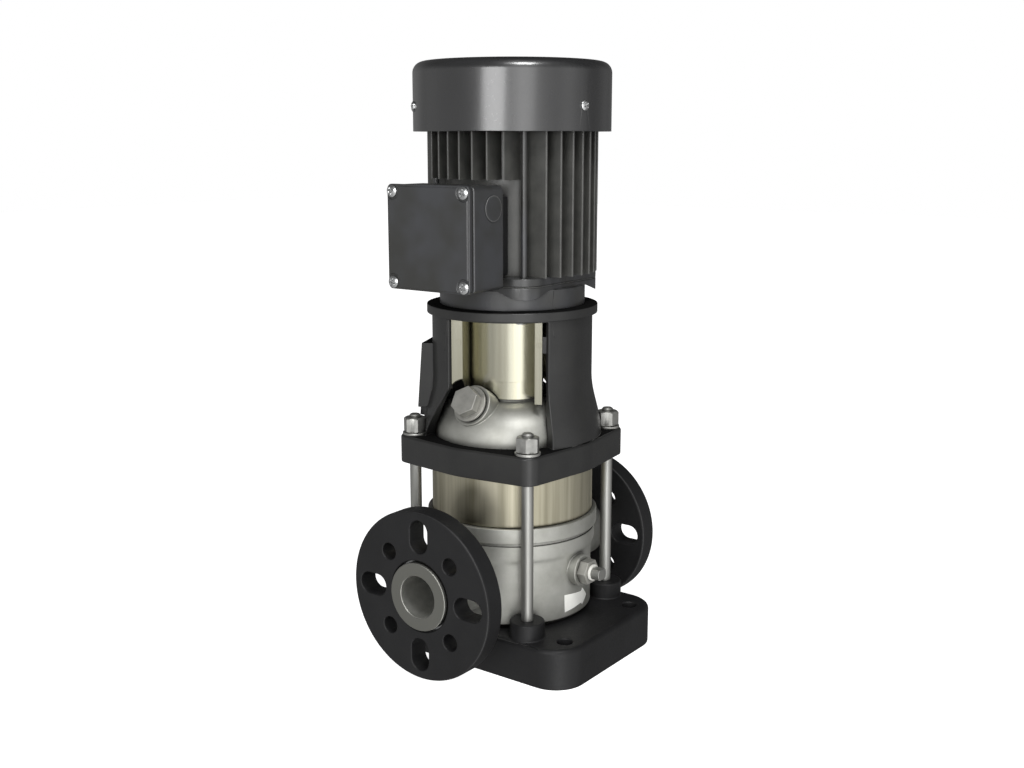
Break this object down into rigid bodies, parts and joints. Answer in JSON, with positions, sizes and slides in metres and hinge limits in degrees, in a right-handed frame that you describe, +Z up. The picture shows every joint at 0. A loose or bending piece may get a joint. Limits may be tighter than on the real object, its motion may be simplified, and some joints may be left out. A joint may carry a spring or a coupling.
{
  "type": "vertical multistage pump",
  "caption": "Vertical multistage water pump: in-line flanged ports on a base plate, steel sleeve of impeller stages, windowed stool and a finned motor with terminal box.",
  "frame": {"origin": "centre of the foot of the base plate, on the floor", "axes": "+Z up along the shaft; the inlet and the terminal box face -Y, the outlet faces +Y; the drain valve is on +X"},
  "size_m": [0.213, 0.254, 0.4941],
  "materials": {
    "black_paint": "satin charcoal paint over cast iron and aluminium",
    "cast_stainless": "bead blasted casting",
    "brushed_stainless": "brushed round the axis",
    "polished_stainless": "polished sheet",
    "sheet_stainless": "pressed sheet",
    "rod_steel": "satin stainless bar",
    "plated_screws": "bright zinc plate",
    "shaft_steel": "ground",
    "plug_steel": "matt stainless",
    "plug_washer_fibre": "matt",
    "collar_nylon": "moulded, natural white",
    "seal_rubber": "moulded",
    "seal_carbon": "lapped carbon",
    "coupling_iron": "machined",
    "lamination_steel": "stacked sheet",
    "copper_winding": "varnished copper",
    "fan_plastic": "moulded",
    "entry_plastic": "moulded",
    "board_plastic": "moulded",
    "stud_brass": "turned"
  },
  "bodies": {
    "fixed_pump": {"base_plate": "black_paint", "motor_stool": "black_paint", "drive_end_shield": "black_paint", "stator_housing": "black_paint", "rear_end_shield": "black_paint", "fan_cover": "black_paint", "terminal_box": "black_paint", "terminal_box_lid": "black_paint", "stay_bolts": "black_paint", "pump_housing": "cast_stainless", "pump_head": "cast_stainless", "outer_sleeve": "brushed_stainless", "coupling_guard_front": "polished_stainless", "coupling_guard_rear": "polished_stainless", "seal_gland": "polished_stainless", "guard_screws": "polished_stainless", "stage_chamber_1": "sheet_stainless", "stage_chamber_2": "sheet_stainless", "stage_chamber_3": "sheet_stainless", "stage_chamber_4": "sheet_stainless", "top_diffuser": "sheet_stainless", "bearing_spider": "sheet_stainless", "tie_rods": "rod_steel", "tie_rod_washers": "rod_steel", "tie_rod_nuts": "rod_steel", "gland_screws": "plated_screws", "motor_bolts": "plated_screws", "fan_cover_screws": "plated_screws", "lid_screws": "plated_screws", "flange_retaining_rings": "plated_screws", "bearing_outer_rings": "shaft_steel", "drain_valve_body": "plug_steel", "priming_plug_washer": "plug_washer_fibre", "drain_valve_collar": "collar_nylon", "sleeve_seal_rings": "seal_rubber", "terminal_box_gasket": "seal_rubber", "seal_seat": "seal_carbon", "shaft_bushes": "seal_carbon", "stator_core": "lamination_steel", "end_windings": "copper_winding", "cable_entry_plugs": "entry_plastic", "terminal_board": "board_plastic", "terminal_studs": "stud_brass"},
    "rotating_set": {"motor_shaft": "shaft_steel", "rotor_core": "lamination_steel", "bearing_inner_rings": "shaft_steel", "cooling_fan": "fan_plastic", "coupling_halves": "coupling_iron", "coupling_screws": "plated_screws", "pump_shaft": "shaft_steel", "impeller_1": "sheet_stainless", "impeller_2": "sheet_stainless", "impeller_3": "sheet_stainless", "impeller_4": "sheet_stainless", "shaft_spacers": "shaft_steel", "seal_turning_ring": "seal_carbon"},
    "inlet_flange": {"inlet_flange": "black_paint"},
    "outlet_flange": {"outlet_flange": "black_paint"},
    "priming_plug": {"priming_plug": "plug_steel"},
    "drain_stem": {"drain_valve_stem": "plug_steel"}
  },
  "joints": [
    {"name": "shaft_spin", "type": "hinge", "parent": "fixed_pump", "child": "rotating_set", "pos_m": [0, 0, 0.3], "axis": [0, 0, 1], "continuous": true},
    {"name": "inlet_flange_swivel", "type": "hinge", "parent": "fixed_pump", "child": "inlet_flange", "pos_m": [0, -0.125, 0.075], "axis": [0, -1, 0], "continuous": true},
    {"name": "outlet_flange_swivel", "type": "hinge", "parent": "fixed_pump", "child": "outlet_flange", "pos_m": [0, 0.125, 0.075], "axis": [0, 1, 0], "continuous": true},
    {"name": "priming_plug_out", "type": "slide", "parent": "fixed_pump", "child": "priming_plug", "axis": [0, -0.866, 0.5], "range_m": [0, 0.012]},
    {"name": "drain_stem_turn", "type": "hinge", "parent": "fixed_pump", "child": "drain_stem", "pos_m": [0.09, 0, 0.077], "axis": [1, 0, 0], "range_deg": [0, 720]}
  ]
}
